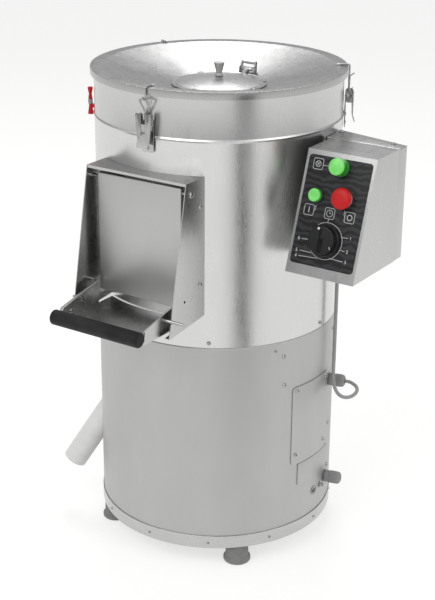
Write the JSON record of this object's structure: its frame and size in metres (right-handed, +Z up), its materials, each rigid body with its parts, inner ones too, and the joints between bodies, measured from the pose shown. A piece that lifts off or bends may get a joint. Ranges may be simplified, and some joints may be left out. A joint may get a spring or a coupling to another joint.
{
  "type": "drum vegetable peeler",
  "caption": "Upright steel drum peeler with funnel hopper, hinged feed lid, toggle latches, hatch with door and tray, tilted control box, abrasive disc and drain pipe.",
  "frame": {"origin": "centre of the machine's box at the level the feet stand on", "axes": "+Z up, the discharge hatch faces -Y, the control box is on +X"},
  "size_m": [0.592, 0.5734, 0.8469],
  "materials": {
    "satin_steel": "satin",
    "matt_steel": "matt, bead blasted",
    "bright_steel": "polished",
    "cast_metal": "cast, painted grey",
    "plated_steel": "zinc plated",
    "grit": "bonded abrasive grit",
    "grey_rubber": "matt",
    "black_rubber": "matt",
    "black_plastic": "fine matt",
    "grey_plastic": "matt",
    "cable_sheath": "matt",
    "white_plastic": "smooth",
    "green_plastic": "gloss",
    "red_plastic": "gloss",
    "label_film": "printed film"
  },
  "bodies": {
    "root": {"base_pan": "satin_steel", "foot_front_right": "grey_rubber", "foot_back_right": "grey_rubber", "foot_back_left": "grey_rubber", "foot_front_left": "grey_rubber", "lower_shell": "matt_steel", "service_cover": "matt_steel", "supply_cover": "matt_steel", "upper_shell": "satin_steel", "chamber_floor": "satin_steel", "wall_lining": "grit", "bearing_housing": "cast_metal", "upper_bearing": "bright_steel", "lower_bearing": "bright_steel", "drive_belt": "black_rubber", "motor": "cast_metal", "motor_plate": "plated_steel", "drain_pipe": "white_plastic", "hopper": "satin_steel", "hopper_gasket": "black_rubber", "lid_hinge_bracket": "bright_steel", "lid_hinge_pin": "bright_steel", "latch_base_front": "bright_steel", "latch_base_right": "bright_steel", "latch_base_left": "bright_steel", "interlock_socket": "red_plastic", "hatch_housing": "satin_steel", "door_pin": "bright_steel", "control_housing": "satin_steel", "control_back_cover": "satin_steel", "front_label": "label_film", "power_lamp": "green_plastic", "timer_module": "grey_plastic", "upper_gland": "grey_plastic", "supply_gland": "grey_plastic", "box_gland": "grey_plastic", "connecting_cable": "cable_sheath"},
    "disc_rotor": {"abrasive_disc": "grit", "disc_nut": "satin_steel", "drive_shaft": "plated_steel", "driven_pulley": "cast_metal"},
    "motor_rotor": {"motor_pulley": "cast_metal", "motor_shaft": "plated_steel"},
    "lid": {"feed_lid": "satin_steel", "lid_knob": "matt_steel"},
    "lever_front": {"latch_lever_front": "bright_steel"},
    "bail_front": {"latch_bail_front": "bright_steel"},
    "lever_right": {"latch_lever_right": "bright_steel"},
    "bail_right": {"latch_bail_right": "bright_steel"},
    "lever_left": {"latch_lever_left": "bright_steel"},
    "bail_left": {"latch_bail_left": "bright_steel"},
    "door": {"hatch_door": "satin_steel"},
    "tray": {"discharge_tray": "satin_steel", "tray_handle": "black_rubber", "tray_pivot_right": "bright_steel", "tray_pivot_left": "bright_steel"},
    "start_cap": {"start_button": "green_plastic"},
    "stop_cap": {"stop_button": "red_plastic"},
    "timer_dial": {"timer_knob": "black_plastic"},
    "safety_key": {"interlock_key": "red_plastic"}
  },
  "joints": [
    {"name": "disc_spin", "type": "hinge", "parent": "root", "child": "disc_rotor", "pos_m": [-0.046, 0.07075, 0.48], "axis": [0, 0, 1], "continuous": true},
    {"name": "motor_spin", "type": "hinge", "parent": "root", "child": "motor_rotor", "pos_m": [0.07525, 0.14075, 0.3], "axis": [0, 0, 1], "continuous": true},
    {"name": "lid_hinge", "type": "hinge", "parent": "root", "child": "lid", "pos_m": [-0.046, 0.15925, 0.82], "axis": [-1, 0, 0], "range_deg": [0, 113]},
    {"name": "lever_front_turn", "type": "hinge", "parent": "root", "child": "lever_front", "pos_m": [-0.03838, -0.14742, 0.799], "axis": [-0.9994, -0.0349, 0], "range_deg": [0, 122]},
    {"name": "bail_front_turn", "type": "hinge", "parent": "lever_front", "child": "bail_front", "pos_m": [-0.03838, -0.14742, 0.787], "axis": [-0.9994, -0.0349, 0], "range_deg": [-122, 0]},
    {"name": "lever_right_turn", "type": "hinge", "parent": "root", "child": "lever_right", "pos_m": [0.13913, 0.18643, 0.799], "axis": [0.5299, -0.848, 0], "range_deg": [0, 122]},
    {"name": "bail_right_turn", "type": "hinge", "parent": "lever_right", "child": "bail_right", "pos_m": [0.13913, 0.18643, 0.787], "axis": [0.5299, -0.848, 0], "range_deg": [-122, 0]},
    {"name": "lever_left_turn", "type": "hinge", "parent": "root", "child": "lever_left", "pos_m": [-0.23875, 0.17324, 0.799], "axis": [0.4695, 0.8829, 0], "range_deg": [0, 122]},
    {"name": "bail_left_turn", "type": "hinge", "parent": "lever_left", "child": "bail_left", "pos_m": [-0.23875, 0.17324, 0.787], "axis": [0.4695, 0.8829, 0], "range_deg": [-122, 0]},
    {"name": "door_swing", "type": "hinge", "parent": "root", "child": "door", "pos_m": [-0.046, -0.15355, 0.6887], "axis": [-1, 0, 0], "range_deg": [0, 75]},
    {"name": "tray_swing", "type": "hinge", "parent": "root", "child": "tray", "pos_m": [-0.046, -0.20525, 0.492], "axis": [-1, 0, 0], "range_deg": [0, 80]},
    {"name": "start_press", "type": "slide", "parent": "root", "child": "start_cap", "axis": [0, 0.9466, -0.3223], "range_m": [0, 0.0035], "stiffness_N_per_m": 400},
    {"name": "stop_press", "type": "slide", "parent": "root", "child": "stop_cap", "axis": [0, 0.9466, -0.3223], "range_m": [0, 0.004], "stiffness_N_per_m": 500},
    {"name": "timer_turn", "type": "hinge", "parent": "root", "child": "timer_dial", "pos_m": [0.235, -0.04788, 0.61889], "axis": [0, 0.9466, -0.3223], "range_deg": [0, 300]},
    {"name": "key_lift", "type": "slide", "parent": "root", "child": "safety_key", "axis": [0, 0, 1], "range_m": [0, 0.01]}
  ],
  "couplings": [
    {"joint": "motor_spin", "follows": "disc_spin", "ratio": 3.2615},
    {"joint": "bail_front_turn", "follows": "lever_front_turn", "ratio": -1},
    {"joint": "bail_right_turn", "follows": "lever_right_turn", "ratio": -1},
    {"joint": "bail_left_turn", "follows": "lever_left_turn", "ratio": -1}
  ]
}
